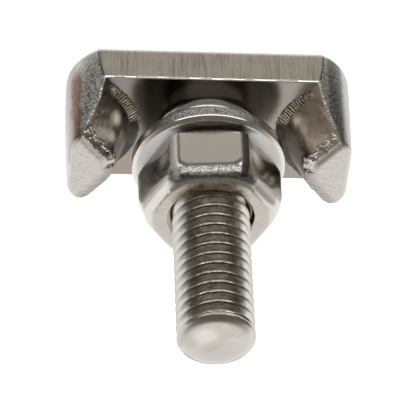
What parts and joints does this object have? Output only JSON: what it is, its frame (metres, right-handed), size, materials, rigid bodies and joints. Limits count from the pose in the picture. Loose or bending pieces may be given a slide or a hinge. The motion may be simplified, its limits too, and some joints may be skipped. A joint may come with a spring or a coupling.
{
  "type": "battery terminal t-bolt",
  "caption": "T-shaped bolt for a battery terminal clamp: a wedge-legged head, a threaded stud, a flat washer and a hex nut.",
  "frame": {"origin": "middle of the head's flat back, on the stud's axis", "axes": "+Z along the stud, from the head to the stud's end; X along the head from leg to leg; Y across the head's side faces"},
  "size_m": [0.0294, 0.0158, 0.0326],
  "materials": {
    "bolt_steel": "satin",
    "washer_steel": "polished",
    "nut_steel": "satin"
  },
  "bodies": {
    "bolt": {"t_bolt": "bolt_steel"},
    "washer": {"washer": "washer_steel"},
    "nut": {"hex_nut": "nut_steel"}
  },
  "joints": [
    {"name": "washer_slide", "type": "slide", "parent": "bolt", "child": "washer", "axis": [0, 0, 1], "range_m": [0, 0.0151]},
    {"name": "nut_turn", "type": "hinge", "parent": "washer", "child": "nut", "pos_m": [0, 0, 0.0131], "axis": [0, 0, 1], "range_deg": [0, 4320]}
  ],
  "couplings": [
    {"joint": "washer_slide", "follows": "nut_turn", "m_per_rad": 0.00019894}
  ]
}
